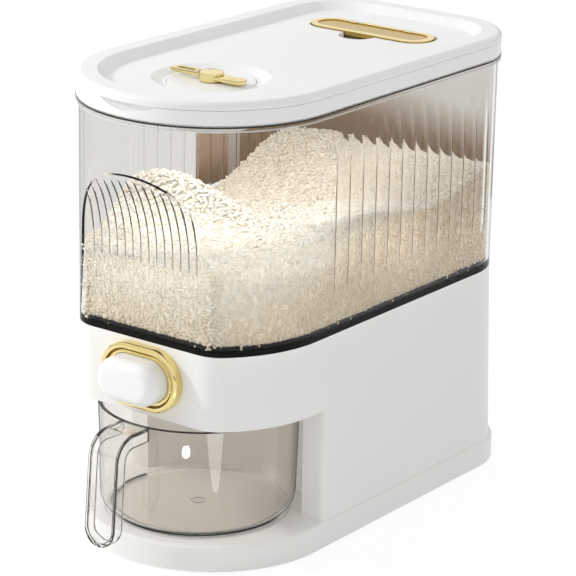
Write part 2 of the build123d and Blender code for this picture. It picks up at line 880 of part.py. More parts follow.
def make_cup():
    """The desiccant cup: a round cup with a hung flange and air holes in its floor."""
    radius = cap_radius - 2 * part_gap
    flange_low = liner_z + liner_thick
    low = cup_top - cup_depth
    cup = rod(0, dish_y, radius, low, cup_top)
    cup += rod(0, dish_y, radius + cup_flange, flange_low, flange_low + cup_wall)
    cup -= rod(0, dish_y, radius - cup_wall, low + cup_wall, cup_top + 1)
    for reach, count in ((9, 6), (19, 12)):
        for i in range(count):
            angle = 2 * pi * i / count
            cup -= rod(reach * cos(angle), dish_y + reach * sin(angle), 2, low - 1, low + cup_wall + 1)
    return cup


def make_cap():
    """The white cap that closes the cup, with a skirt and a groove for its ring."""
    skirt = cap_radius - 2 * part_gap - cup_wall - part_gap
    cap = rod(0, dish_y, cap_radius, cap_bottom, cap_top)
    cap = fillet(cap.edges().group_by(Axis.Z)[-1], 0.6)
    tube = rod(0, dish_y, skirt, cap_bottom - skirt_depth, cap_bottom)
    tube -= rod(0, dish_y, skirt - 2.6, 0, cap_bottom)
    groove_low = cap_bottom - skirt_depth + 1.5
    groove = rod(0, dish_y, far / 4, groove_low, groove_low + ring_size)
    tube -= groove - rod(0, dish_y, skirt - ring_size / 2, groove_low, groove_low + ring_size)
    return cap + tube - rod(0, dish_y, stem_radius + 0.06, 0, far)


def make_cap_ring():
    skirt = cap_radius - 2 * part_gap - cup_wall - part_gap
    low = cap_bottom - skirt_depth + 1.5
    band = rod(0, dish_y, skirt, low, low + ring_size)
    return band - rod(0, dish_y, skirt - ring_size / 2, low, low + ring_size)


def make_key():
    """The bright key: a round hub with an open loop to the left and a flat paddle to the right."""
    low = cap_top + part_gap
    hub = fillet(rod(0, dish_y, hub_radius, low, low + hub_height).edges().group_by(Axis.Z)[-1], 1.2)
    loop_low = low + 2.6
    loop = Pos(-key_arm / 2, dish_y, loop_low) * extrude(SlotOverall(key_arm, 10.5), amount=2.4, dir=up)
    hole = Pos(-key_arm * 0.64, dish_y, loop_low) * extrude(SlotOverall(15, 4.2), amount=4, dir=up)
    paddle = Pos(paddle_arm / 2, dish_y, low + 1.6) * extrude(SlotOverall(paddle_arm, 12), amount=2.4, dir=up)
    clip_at = cap_bottom - part_gap - clip_thick
    stem = rod(0, dish_y, stem_radius, clip_at - 1.2, low + 1)
    stem -= rod(0, dish_y, far / 4, clip_at, clip_at + clip_thick) - rod(0, dish_y, 2.2, 0, far)
    return hub + loop + paddle + stem - hole


def make_key_clip():
    """A spring clip in the stem's groove, under the cap."""
    clip_at = cap_bottom - part_gap - clip_thick
    return rod(0, dish_y, 5.4, clip_at, clip_at + clip_thick) - rod(0, dish_y, 2.2, 0, far)


def make_lid_handle():
    """The bright oblong plate with a raised border and two hinge lugs in its back edge."""
    plate = flat_oblong(plate_length, plate_width, plate_under, plate_top + plate_rim, plate_y)
    plate = fillet(plate.edges().group_by(Axis.Z)[-1], 0.35)
    border = 2 * plate_border
    plate -= flat_oblong(plate_length - border, plate_width - border, plate_top, plate_top + 5, plate_y)
    room = ear_radius + part_gap
    for side in (-1, 1):
        x = side * lug_x
        half = ear_reach + slide_gap
        plate -= box(x - half, x + half, hinge_y - room, hinge_y + far, 0, far)
        lug = box(
            x - lug_length / 2, x + lug_length / 2, hinge_y - room - 1, hinge_y,
            hinge_z - lug_radius, hinge_z + lug_radius,
        )
        lug += rod_x(x, hinge_y, hinge_z, lug_radius, lug_length)
        plate += lug - rod_x(x, hinge_y, hinge_z, hinge_pin + hinge_play, far)
    return plate


def make_hinge_pins():
    length = 2 * ear_reach
    return group([rod_x(side * lug_x, hinge_y, hinge_z, hinge_pin, length) for side in (-1, 1)])


pieces = {
    "base_plate": make_base,
    "rubber_feet": make_feet,
    "base_screws": make_base_screws,
    "lower_body": make_body,
    "hopper": make_hopper,
    "gate_guide": make_gate_guide,
    "guide_screws": make_guide_screws,
    "gate_plate": make_gate,
    "push_arm": make_push_arm,
    "button_cap": make_button,
    "button_bezel": make_bezel,
    "return_spring": make_spring,
    "jug_bowl": make_jug_bowl,
    "jug_handle": make_jug_handle,
    "tank": make_tank,
    "tank_seal": make_tank_seal,
    "tank_collar": make_collar,
    "rice_fill": make_rice,
    "lid_cover": make_lid_cover,
    "lid_liner": make_lid_liner,
    "lid_screws": make_lid_screws,
    "lid_seal": make_lid_seal,
    "desiccant_cup": make_cup,
    "desiccant_cap": make_cap,
    "cap_ring": make_cap_ring,
    "cap_key": make_key,
    "key_clip": make_key_clip,
    "lid_handle": make_lid_handle,
    "hinge_pins": make_hinge_pins,
}

for name, make in pieces.items():
    shape = make()
    export_step(shape, f"parts/{name}.step")
    print(name, round(shape.volume / 1000, 2), "cm3")
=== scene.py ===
"""Looks of the rice dispenser: its plastics, gilding, clear tank and jug, the rice and the studio.

Everything is in metres. +X is to the right, +Y to the back, +Z up, and the button and jug face -Y.
"""
import math
import random

import bpy
import numpy as np
from mathutils import Matrix, Vector


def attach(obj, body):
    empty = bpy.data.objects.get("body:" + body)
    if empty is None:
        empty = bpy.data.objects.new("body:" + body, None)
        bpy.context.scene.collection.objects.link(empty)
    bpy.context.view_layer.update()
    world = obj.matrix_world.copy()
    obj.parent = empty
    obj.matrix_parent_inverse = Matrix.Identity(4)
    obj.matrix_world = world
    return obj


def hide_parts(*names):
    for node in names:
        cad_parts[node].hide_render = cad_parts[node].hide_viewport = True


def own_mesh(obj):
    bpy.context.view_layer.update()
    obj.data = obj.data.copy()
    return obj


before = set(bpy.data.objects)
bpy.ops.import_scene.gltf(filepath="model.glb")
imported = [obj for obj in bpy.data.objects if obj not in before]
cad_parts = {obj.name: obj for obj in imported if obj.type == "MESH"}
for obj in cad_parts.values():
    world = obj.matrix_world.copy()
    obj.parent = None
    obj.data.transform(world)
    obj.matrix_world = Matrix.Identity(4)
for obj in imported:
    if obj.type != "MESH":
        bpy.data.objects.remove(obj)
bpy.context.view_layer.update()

# The tank: its plan, its wall and the scooped facet under an arch
tank_radius = 0.0924
tank_back = 0.257
tank_corner = 0.054
tank_wall = 0.0025
facet_y = -0.073
arch_spring = 0.225
arch_curve = 0.0905

# Painted shade and highlight lines on clear pieces: rings by radius and height, level lines by two
# heights, ribs and creases
jug_y = -0.012
jug_rim = (0.0719, 0.1013)
jug_foot = (0.0625, 0.0216)
flange_line = (0.3206, 0.3214)
pale_line = (0.3178, 0.3186)
rib_pitch = 0.007
rib_count = 14
rib_width = 0.0015
rib_bottom = 0.216
rib_gap = 0.0045
flute_first = 0.028
flute_pitch = 0.0157
flute_count = 12
left_pale_end = 0.1
flute_foot = 0.190
flute_height = 0.096

# The button, its bezel and its spring
bezel_y = -0.0785
bezel_straight = 0.011
button_height = 0.1345

# The rice: its foot, its level, how that leans, and the hills on it
rice_bottom = 0.1645
rice_level = 0.2233
rice_lean = (0.047, -0.037)
hills = (
    # x, y, height, reach along x, reach along y
    (-0.0505, 0.0229, 0.0500, 0.0671, 0.0270),
    (-0.0756, 0.1996, 0.0268, 0.1098, 0.0613),
    (0.1054, 0.0580, 0.0145, 0.0388, 0.0553),
    (0.0767, 0.2144, 0.0166, 0.1098, 0.0367),
    (-0.0406, 0.0335, -0.0216, 0.0698, 0.1050),
)

# One grain, its room at a wall, how near a wall it lies along it, and how many make a piece
grain_length = 0.0046
grain_width = 0.0027
grain_thick = 0.0023
grain_room = 0.0013
wall_reach = 0.0032
batch = 5200


# Materials


class Finish:
    """A material with a Principled shader, and short ways to wire patterns into it."""

    def __init__(self, name):
        self.material = bpy.data.materials.new(name)
        self.material.use_nodes = True
        self.tree = self.material.node_tree
        self.shader = self.tree.nodes["Principled BSDF"]
        self.output = self.tree.nodes["Material Output"]
        self.place = self.add("ShaderNodeTexCoord").outputs["Object"]

    def add(self, kind, **settings):
        """Adds a node with some settings."""
        node = self.tree.nodes.new(kind)
        for key, value in settings.items():
            setattr(node, key, value)
        return node

    def join(self, source, target):
        """Wires an output to an input."""
        self.tree.links.new(source, target)

    def set(self, **values):
        """Sets plain values on the shader, with underscores for spaces in their names."""
        for key, value in values.items():
            self.shader.inputs[key.replace("_", " ")].default_value = value

    def noise(self, scale, detail=3.0, stretch=None):
        """A cloudy pattern that can be drawn out along an axis."""
        node = self.add("ShaderNodeTexNoise")
        node.inputs["Scale"].default_value = scale
        node.inputs["Detail"].default_value = detail
        place = self.place
        if stretch:
            mapping = self.add("ShaderNodeMapping")
            mapping.inputs["Scale"].default_value = stretch
            self.join(self.place, mapping.inputs["Vector"])
            place = mapping.outputs["Vector"]
        self.join(place, node.inputs["Vector"])
        return node.outputs["Fac"]

    def ramp(self, factor, *stops):
        """Turns a factor into colours, from stops of a position and a colour."""
        node = self.add("ShaderNodeValToRGB")
        elements = node.color_ramp.elements
        while len(elements) < len(stops):
            elements.new(0.5)
        for element, (position, colour) in zip(elements, stops):
            element.position = position
            element.color = (*colour, 1.0)
        self.join(factor, node.inputs["Fac"])
        return node.outputs["Color"]

    def span(self, factor, low, high):
        """Stretches a factor from 0..1 to low..high."""
        node = self.add("ShaderNodeMapRange")
        node.inputs["To Min"].default_value = low
        node.inputs["To Max"].default_value = high
        self.join(factor, node.inputs["Value"])
        return node.outputs["Result"]

    def paint(self, colour):
        """Gives the shader its colour."""
        self.join(colour, self.shader.inputs["Base Color"])

    def gloss(self, factor, low, high):
        """Gives the shader a roughness that runs from low to high."""
        self.join(self.span(factor, low, high), self.shader.inputs["Roughness"])

    def reach(self, source, start, end):
        """Turns a value into a factor that is 0 at the start and 1 at the end."""
        node = self.add("ShaderNodeMapRange")
        node.inputs["From Min"].default_value = start
        node.inputs["From Max"].default_value = end
        self.join(source, node.inputs["Value"])
        return node.outputs["Result"]

    def multiply(self, colour, tint, share):
        """Multiplies a colour by a tint, to a share."""
        node = self.add("ShaderNodeMix", data_type="RGBA", blend_type="MULTIPLY")
        factor, first, second = (node.inputs[i] for i in (0, 6, 7))
        factor.default_value = share
        self.join(colour, first)
        self.join(tint, second)
        return node.outputs[2]

    def ray(self, kind):
        """1 where the light is followed along one kind of ray, and 0 elsewhere."""
        return self.add("ShaderNodeLightPath").outputs[kind]

    def blend(self, first, second):
        """Mixes two shaders, and gives back the input for their share as well."""
        node = self.add("ShaderNodeMixShader")
        self.join(first, node.inputs[1])
        self.join(second, node.inputs[2])
        return node.outputs["Shader"], node.inputs["Fac"]

    def cover(self, shader):
        """Gives the material its surface."""
        self.join(shader, self.output.inputs["Surface"])

    def bump(self, height, distance, strength=1.0, after=None):
        """Raises the skin by a pattern, on top of an earlier bump where one is given."""
        node = self.add("ShaderNodeBump")
        node.inputs["Distance"].default_value = distance
        node.inputs["Strength"].default_value = strength
        self.join(height, node.inputs["Height"])
        if after is not None:
            self.join(after, node.inputs["Normal"])
        self.join(node.outputs["Normal"], self.shader.inputs["Normal"])
        return node.outputs["Normal"]


def moulded_plastic(name, colour, shade, roughness, grain=0.00003):
    """Opaque moulded plastic with a faint mottle, uneven gloss and a very fine skin."""
    finish = Finish(name)
    mottle = finish.noise(22.0, detail=4.0)
    finish.paint(finish.ramp(mottle, (0.3, shade), (0.7, colour)))
    patches = finish.noise(55.0, detail=3.0)
    finish.gloss(patches, roughness - 0.04, roughness + 0.05)
    flow = finish.bump(finish.noise(16.0, detail=2.0), 0.00012, 0.35)
    finish.bump(finish.noise(2600.0, detail=2.0), grain, 0.5, after=flow)
    return finish.material


def clear_plastic(name, tint, shadow_tint, roughness, outline, ior=1.45):
    """Clear plastic that bends light, has painted shade where it is seen edge-on and lets lamps
    through.
    """
    finish = Finish(name)
    finish.set(Base_Color=(*tint, 1.0), Transmission_Weight=1.0, IOR=ior)
    haze = finish.noise(30.0)
    finish.gloss(haze, roughness, roughness + 0.03)
    finish.bump(finish.noise(24.0, detail=2.0), 0.0002, 0.25)
    # Painted shade: a dark see-through tone takes over where the plastic is seen edge-on.
    facing = finish.add("ShaderNodeLayerWeight").outputs["Facing"]
    edge_on = finish.ramp(facing, (0.74, (0.0, 0.0, 0.0)), (0.96, (outline, outline, outline)))
    grazing_shade = finish.add("ShaderNodeBsdfTransparent")
    grazing_shade.inputs["Color"].default_value = (0.20, 0.18, 0.16, 1.0)
    edged, share = finish.blend(finish.shader.outputs["BSDF"], grazing_shade.outputs["BSDF"])
    finish.join(edge_on, share)
    through = finish.add("ShaderNodeBsdfTransparent")
    through.inputs["Color"].default_value = (*shadow_tint, 1.0)
    path = finish.add("ShaderNodeLightPath")
    either = finish.add("ShaderNodeMath", operation="MAXIMUM")
    finish.join(path.outputs["Is Shadow Ray"], either.inputs[0])
    finish.join(path.outputs["Is Diffuse Ray"], either.inputs[1])
    whole, share = finish.blend(edged, through.outputs["BSDF"])
    finish.join(either.outputs["Value"], share)
    finish.cover(whole)
    return finish.material


def painted_edge_finish(name, colour, depth):
    """Painted shade that stands in for plastic seen deep through its own edge: almost black, and
    still glossy.
    """
    finish = Finish(name)
    cloud = finish.noise(120.0, detail=3.0)
    finish.paint(finish.ramp(cloud, (0.3, colour), (0.7, tuple(c * 1.5 for c in colour))))
    finish.gloss(cloud, 0.12, 0.22)
    finish.set(Transmission_Weight=depth, Specular_IOR_Level=0.3)
    finish.bump(cloud, 0.00005, 0.3)
    return finish.material


def gilding(name, dark, light):
    """Pale gold plating: bright metal with faint waves and tiny changes of gloss."""
    finish = Finish(name)
    tone = finish.noise(35.0, detail=3.0)
    gold = finish.ramp(tone, (0.25, dark), (0.75, light))
    finish.paint(gold)
    finish.set(Metallic=1.0)
    haze = finish.noise(400.0, detail=3.0)
    finish.gloss(haze, 0.10, 0.2)
    waves = finish.bump(finish.noise(60.0, detail=2.0), 0.0002, 0.3)
    finish.bump(finish.noise(2200.0, detail=2.0), 0.00002, 0.3, after=waves)
    dull = finish.add("ShaderNodeBsdfDiffuse")
    finish.join(gold, dull.inputs["Color"])
    plated, share = finish.blend(finish.shader.outputs["BSDF"], dull.outputs["BSDF"])
    finish.join(finish.ray("Is Diffuse Ray"), share)
    finish.cover(plated)
    return finish.material


def line_finish(name, dark, light, cover):
    """A thin see-through tone, for the painted shade and painted highlight lines that a sharp
    crease in clear plastic shows.
    """
    finish = Finish(name)
    cloud = finish.noise(150.0, detail=3.0)
    finish.paint(finish.ramp(cloud, (0.3, dark), (0.7, light)))
    finish.gloss(cloud, 0.2, 0.35)
    finish.set(Alpha=cover, Specular_IOR_Level=0.05)
    return finish.material


def gold_plate_with_shade(name, edge, flat, level):
    """Gold plating that turns deeper below a level: painted shade in the plate's recess."""
    finish = Finish(name)
    split = finish.add("ShaderNodeSeparateXYZ")
    finish.join(finish.place, split.inputs["Vector"])
    rise = finish.reach(split.outputs["Z"], level - 0.0002, level)
    haze = finish.noise(300.0, detail=3.0)
    finish.paint(finish.ramp(rise, (0.0, flat), (1.0, edge)))
    finish.gloss(haze, 0.18, 0.28)
    finish.set(Metallic=1.0)
    finish.bump(finish.noise(60.0, detail=2.0), 0.0002, 0.3)
    return finish.material


def steel(name):
    """Drawn steel wire and screws, with fine streaks along them."""
    finish = Finish(name)
    streaks = finish.noise(900.0, detail=4.0, stretch=(1.0, 0.15, 1.0))
    finish.paint(finish.ramp(streaks, (0.3, (0.40, 0.40, 0.41)), (0.7, (0.60, 0.60, 0.61))))
    finish.gloss(streaks, 0.22, 0.38)
    finish.set(Metallic=1.0)
    finish.bump(streaks, 0.00003, 0.5)
    return finish.material


def seal_rubber(name, dark, light, roughness, gloss=0.5):
    """Cloudy rubber with a fine grain."""
    finish = Finish(name)
    finish.set(Specular_IOR_Level=gloss)
    cloud = finish.noise(70.0, detail=4.0)
    finish.paint(finish.ramp(cloud, (0.3, dark), (0.7, light)))
    finish.gloss(cloud, roughness, roughness + 0.12)
    finish.bump(finish.noise(1500.0, detail=2.0), 0.00004, 0.5)
    return finish.material


def rice_finish(name, low, high, fade):
    """Polished rice: each grain has its own tone and chalky parts, and lets some light through.

    The fade says along which way the painted shade ends, where it ends and how it tints the rice.
    """
    finish = Finish(name)
    island = finish.add("ShaderNodeNewGeometry").outputs["Random Per Island"]
    tone = finish.ramp(island, (0.0, low), (0.6, high), (1.0, rice_peak))
    chalk = finish.noise(420.0, detail=3.0)
    spots = finish.ramp(chalk, (0.35, (0.90, 0.87, 0.81)), (0.65, (1.0, 1.0, 1.0)))
    colour = finish.multiply(tone, spots, 0.5)
    finish.gloss(chalk, 0.34, 0.5)
    finish.bump(finish.noise(1900.0, detail=2.0), 0.00006, 0.5)
    # Painted shade: a tint along one direction, fading out where the shade ends.
    along = finish.add("ShaderNodeVectorMath", operation="DOT_PRODUCT")
    finish.join(finish.place, along.inputs[0])
    along.inputs[1].default_value = fade["along"]
    lit = finish.reach(along.outputs["Value"], fade["start"], fade["start"] + 1.0)
    tint = finish.ramp(lit, (0.0, fade["tint"]), (1.0, (1.0, 1.0, 1.0)))
    colour = finish.multiply(colour, tint, 1.0)
    finish.paint(colour)
    milky = finish.add("ShaderNodeBsdfTranslucent")
    finish.join(colour, milky.inputs["Color"])
    grain, share = finish.blend(finish.shader.outputs["BSDF"], milky.outputs["BSDF"])
    share.default_value = 0.25
    finish.cover(grain)
    return finish.material


def rice_bed(name):
    """What is seen between the grains: more rice, in shade."""
    finish = Finish(name)
    cells = finish.add("ShaderNodeTexVoronoi")
    cells.inputs["Scale"].default_value = 330.0
    finish.join(finish.place, cells.inputs["Vector"])
    depth = cells.outputs["Distance"]
    finish.paint(finish.ramp(depth, (0.0, (0.98, 0.93, 0.83)), (0.7, (0.94, 0.87, 0.75))))
    finish.set(Roughness=0.7)
    finish.bump(depth, -0.0012, 0.8)
    return finish.material


white_shell = moulded_plastic("white shell", (0.90, 0.895, 0.88), (0.885, 0.88, 0.865), 0.34)
white_lid = moulded_plastic("white lid", (0.92, 0.92, 0.915), (0.905, 0.905, 0.90), 0.30)
inner_white = moulded_plastic("inner white", (0.80, 0.79, 0.76), (0.77, 0.76, 0.73), 0.48, 0.00005)
tank_shade = (0.985, 0.98, 0.97)
smoky_clear = clear_plastic("smoky clear", (0.915, 0.91, 0.898), tank_shade, 0.012, 0.45, ior=1.22)
jug_shade = (0.95, 0.94, 0.925)
clear_jug = clear_plastic("clear jug", (0.885, 0.862, 0.825), jug_shade, 0.01, 0.85, ior=1.48)
clear_handle = clear_plastic("clear handle", (0.965, 0.96, 0.95), jug_shade, 0.01, 0.85, ior=1.48)
# Painted shade: near-black for the edges, lines and ribs of the clear plastic.
painted_dark_edge = painted_edge_finish("painted dark edge", (0.020, 0.017, 0.014), 0.25)
rib_painted_shade = painted_edge_finish("rib painted shade", (0.035, 0.030, 0.026), 0.35)
gold = gilding("pale gold", (0.80, 0.64, 0.25), (0.93, 0.80, 0.42))
# Painted shade: the lid handle's recess is a deeper gold than its raised rim.
plate_gold_painted_shade = gold_plate_with_shade("plate gold", (0.90, 0.74, 0.36), (0.56, 0.38, 0.09), 0.3340)
# Painted dark reflections for the key's edges.
gold_edge_painted_dark = gilding("gold edges", (0.10, 0.06, 0.015), (0.17, 0.105, 0.03))
# Painted shade for the bezel's groove.
groove_painted_shade = gilding("gold in shade", (0.13, 0.07, 0.015), (0.22, 0.13, 0.035))
bright_steel = steel("bright steel")
black_seal = seal_rubber("black seal", (0.004, 0.0035, 0.003), (0.009, 0.008, 0.007), 0.16, 0.08)
clear_seal = seal_rubber("milky seal", (0.70, 0.70, 0.68), (0.78, 0.78, 0.76), 0.35)
foot_rubber = seal_rubber("foot rubber", (0.03, 0.03, 0.03), (0.05, 0.05, 0.05), 0.6)
# Painted shade on the rear hill: a darker, warmer tint that ends toward the front.
rear_hill_painted_shade = {"along": (86.0, -400.0, 0.0), "start": -49.8, "tint": (0.965, 0.93, 0.895)}
rice_peak = (1.0, 0.985, 0.95)
rice_white = rice_finish("rice grains", (0.92, 0.865, 0.765), (0.98, 0.95, 0.885), rear_hill_painted_shade)
# Painted light and shade: the grains at the wall are a lighter copy of the rice, tinted darker
# toward the back and bottom.
wall_painted_shade = {"along": (0.0, -8.0, 23.5), "start": 4.25, "tint": (0.96, 0.89, 0.79)}
rice_side_painted_light = rice_finish("rice at the wall", (0.95, 0.895, 0.80), (0.99, 0.955, 0.88), wall_painted_shade)
# Painted shade and painted highlight lines for the creases in the clear tank.
flute_shade = line_finish("flute shade", (0.17, 0.085, 0.025), (0.24, 0.13, 0.045), 0.92)
flute_glint = line_finish("flute glint", (0.90, 0.90, 0.88), (0.97, 0.97, 0.95), 0.4)
rice_core = rice_bed("rice bed")

node_finish = {
    "base_plate": white_shell,
    "rubber_feet": foot_rubber,
    "base_screws": bright_steel,
    "lower_body": white_shell,
    "hopper": inner_white,
    "gate_guide": inner_white,
    "guide_screws": bright_steel,
    "gate_plate": inner_white,
    "push_arm": inner_white,
    "button_cap": white_lid,
    "button_bezel": gold,
    "return_spring": bright_steel,
    "jug_bowl": clear_jug,
    "jug_handle": clear_handle,
    "tank": smoky_clear,
    "tank_seal": black_seal,
    "tank_collar": white_lid,
    "rice_fill": rice_core,
    "lid_cover": white_lid,
    "lid_liner": inner_white,
    "lid_screws": bright_steel,
    "lid_seal": clear_seal,
    "desiccant_cup": inner_white,
    "desiccant_cap": white_lid,
    "cap_ring": clear_seal,
    "cap_key": gold,
    "key_clip": bright_steel,
    "lid_handle": plate_gold_painted_shade,
    "hinge_pins": bright_steel,
}


for node_name, node_material in node_finish.items():
    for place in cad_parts[node_name].material_slots:
        place.material = node_material


# Ways to make pieces


def let_go():
    """Leaves nothing selected."""
    bpy.ops.object.select_all(action="DESELECT")


def pick(piece):
    """Selects one piece alone."""
    let_go()
    piece.select_set(True)
    bpy.context.view_layer.objects.active = piece


def settle(piece, material, body):
    """Gives a piece its material and lets it move with its body."""
    piece.data.materials.append(material)
    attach(piece, body)


def new_piece(name, mesh, material, body):
    """Puts a mesh in the scene with its material, on its body."""
    piece = bpy.data.objects.new(name, mesh)
    bpy.context.scene.collection.objects.link(piece)
    settle(piece, material, body)


def smooth_copy(node, name, angle=35.0):
    """A copy of a node's mesh with its loose triangles merged and its curves smooth."""
    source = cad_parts[node]
    piece = bpy.data.objects.new(name, source.data.copy())
    bpy.context.scene.collection.objects.link(piece)
    piece.data.materials.clear()
    pick(piece)
    bpy.ops.object.mode_set(mode="EDIT")
    bpy.ops.mesh.select_all(action="SELECT")
    bpy.ops.mesh.remove_doubles(threshold=0.00001)
    bpy.ops.mesh.tris_convert_to_quads(face_threshold=0.5, shape_threshold=0.7)
    bpy.ops.object.mode_set(mode="OBJECT")
    bpy.ops.object.shade_smooth_by_angle(angle=math.radians(angle))
    let_go()
    return piece


def replace_node(piece, node, body, slot, *materials):
    """Lets a finished copy stand in for its node."""
    for material in materials:
        piece.data.materials.append(material)
    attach(piece, body)
    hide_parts(node)


def darken_edges(piece, width):
    """Turns a piece's sharp edges into narrow bevels with the piece's second material, which paints
    them dark: painted shade on the jug handle, painted dark reflections on the key.
    """
    pick(piece)
    bpy.ops.object.mode_set(mode="EDIT")
    bpy.ops.mesh.select_all(action="SELECT")
    bpy.ops.mesh.dissolve_limited(angle_limit=math.radians(0.3))
    bpy.ops.object.mode_set(mode="OBJECT")
    bevel = piece.modifiers.new("edges", "BEVEL")
    bevel.width = width
    bevel.segments = 2
    bevel.limit_method = "ANGLE"
    bevel.angle_limit = math.radians(50)
    bevel.material = 1
    bpy.ops.object.modifier_apply(modifier=bevel.name)
    bpy.ops.object.shade_smooth_by_angle(angle=math.radians(40))
    let_go()


# The clear pieces


def dark_ring(name, ring, thick, reach=None):
    """A thin line of painted shade on the jug, where the eye looks at a round clear edge edge-on.
    """
    radius, height = ring
    let_go()
    bpy.ops.mesh.primitive_torus_add(
        major_segments=144, minor_segments=8, major_radius=radius, minor_radius=thick,
        location=(0, jug_y, height),
    )
    line = bpy.context.object
    line.name = name
    pick(line)
    bpy.ops.object.transform_apply(location=True, rotation=True, scale=True)
    bpy.ops.object.shade_smooth()
    if reach is not None:
        bpy.ops.object.mode_set(mode="EDIT")
        bpy.ops.mesh.select_all(action="DESELECT")
        bpy.ops.object.mode_set(mode="OBJECT")
        for vertex in line.data.vertices:
            vertex.select = vertex.co.y > reach
        bpy.ops.object.mode_set(mode="EDIT")
        bpy.ops.mesh.delete(type="VERT")
        bpy.ops.object.mode_set(mode="OBJECT")
    settle(line, painted_dark_edge, "jug")


def plan_line(offset, steps):
    """Points round the tank's plan, moved out by an offset."""
    radius = tank_radius + offset
    back = tank_back + offset
    corner = tank_corner + offset
    points = []
    for i in range(2 * steps):
        angle = math.pi + math.pi * i / (2 * steps)
        points.append((radius * math.cos(angle), radius * math.sin(angle)))
    for side in (1, -1):
        for i in range(steps + 1):
            angle = math.pi / 2 * (i / steps if side > 0 else 1 - i / steps)
            x = side * (radius - corner + corner * math.cos(angle))
            points.append((x, back - corner + corner * math.sin(angle)))
    return points


def make_tank_line(name, heights, material):
    """A level line round the tank, just under the collar where its flange is looked at edge-on:
    made once as painted shade and once as a painted highlight.
    """
    outer = plan_line(0.0022, 48)
    inner = plan_line(0.0002, 48)
    count = len(outer)
    points = [(x, y, z) for z in heights for x, y in outer + inner]
    faces = []
    for i in range(count):
        j = (i + 1) % count
        faces.append((i, j, j + 2 * count, i + 2 * count))
        faces.append((j + count, i + count, i + 3 * count, j + 3 * count))
        faces.append((j, i, i + count, j + count))
        faces.append((i + 2 * count, j + 2 * count, j + 3 * count, i + 3 * count))
    mesh = bpy.data.meshes.new(name)
    mesh.from_pydata(points, [], faces)
    new_piece(name, mesh, material, "dispenser")


def make_jug():
    """The jug's handle, and lines of painted shade for the dark outlines of thick clear plastic."""
    handle = smooth_copy("jug_handle", "clear_jug_handle", angle=30.0)
    replace_node(handle, "jug_handle", "jug", "clear_jug", clear_handle, painted_dark_edge)
    darken_edges(handle, 0.0005)
    dark_ring("jug_rim_line", jug_rim, 0.0005)
    dark_ring("jug_foot_line", jug_foot, 0.0010, reach=jug_y + 0.015)


def rib_turn(x):
    """How far a rib bends over the facet's curved top before it ends, a little inside the arch."""
    reach = -facet_y + arch_curve - math.sqrt(tank_radius**2 - x**2)
    return math.acos(reach / arch_curve) - rib_gap / arch_curve


def make_ribs():
    """Dark tapered ribs that run down the scooped facet, each thickest under the arch; their dark
    is painted shade.
    """
    for i in range(rib_count):
        x = (i - (rib_count - 1) / 2) * rib_pitch
        let_go()
        bpy.ops.mesh.primitive_grid_add(x_subdivisions=1, y_subdivisions=30, size=1.0)
        rib = bpy.context.object
        rib.name = f"facet_rib_{i + 1}"
        straight = arch_spring - rib_bottom
        total = straight + rib_turn(x) * arch_curve
        for vertex in rib.data.vertices:
            share = vertex.co.y + 0.5
            along = share * total
            width = rib_width * (0.16 + 0.84 * share**0.8) * min(1.0, (1.0 - share) * 14.0 + 0.12)
            bend = max(0.0, along - straight) / arch_curve
            level = rib_bottom + along
            if along >= straight:
                level = arch_spring + arch_curve * math.sin(bend)
            y = facet_y - arch_curve * (1.0 - math.cos(bend)) + 0.0005
            vertex.co = (x + vertex.co.x * width, y, level)
        pick(rib)
        solid = rib.modifiers.new("body", "SOLIDIFY")
        solid.thickness = 0.0004
        solid.offset = 0.0
        bpy.ops.object.modifier_apply(modifier=solid.name)
        settle(rib, rib_painted_shade, "dispenser")


def make_key():
    """The key's sharp edges show as darker lines in the gilding: painted dark reflections."""
    key = smooth_copy("cap_key", "gilded_key", angle=30.0)
    replace_node(key, "cap_key", "key", "gold_plating", gold, gold_edge_painted_dark)
    darken_edges(key, 0.0006)


def make_spring():
    """The button's coil spring, as a smooth copy with a mesh of its own."""
    spring = smooth_copy("return_spring", "button_spring")
    replace_node(spring, "return_spring", "dispenser", "steel", bright_steel)
    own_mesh(spring)


def make_flute_lines():
    """The sharp creases between the flutes show as a fine line of painted shade beside a painted
    highlight.
    """
    lines = (
        # side, tone, shift from the crease, width
        (1, flute_shade, 0.0004, 0.0011),
        (1, flute_glint, -0.0006, 0.0008),
        (-1, flute_shade, 0.0, 0.0003),
    )
    for side, material, shift, wide in lines:
        for i in range(flute_count + 1):
            crease = flute_first + (i - 0.5) * flute_pitch
            pale = side < 0 and crease < left_pale_end
            tone = flute_glint if pale else material
            full = 0.0006 if pale else wide
            let_go()
            bpy.ops.mesh.primitive_grid_add(x_subdivisions=1, y_subdivisions=16, size=1.0)
            line = bpy.context.object
            line.name = f"{tone.name.replace(' ', '_')}_{'right' if side > 0 else 'left'}_{i + 1}"
            for vertex in line.data.vertices:
                share = vertex.co.y + 0.5
                width = full * min(1.0, 5.0 * share + 0.1, 4.0 * (1.0 - share) + 0.1)
                vertex.co = (
                    side * (tank_radius + 0.0002),
                    crease + shift + vertex.co.x * width,
                    flute_foot + share * flute_height,
                )
            settle(line, tone, "dispenser")


def make_bezel_line():
    """A line of painted shade in the groove between the bezel's two beads."""
    let_go()
    bpy.ops.mesh.primitive_torus_add(
        major_segments=96, minor_segments=8, major_radius=0.0188, minor_radius=0.0010,
        location=(0.0, bezel_y, button_height), rotation=(math.pi / 2, 0.0, 0.0),
    )
    line = bpy.context.object
    line.name = "bezel_groove_line"
    pick(line)
    bpy.ops.object.transform_apply(location=True, rotation=True, scale=True)
    for vertex in line.data.vertices:
        if abs(vertex.co.x) > 0.0001:
            vertex.co.x += math.copysign(bezel_straight, vertex.co.x)
    bpy.ops.object.shade_smooth()
    settle(line, groove_painted_shade, "dispenser")


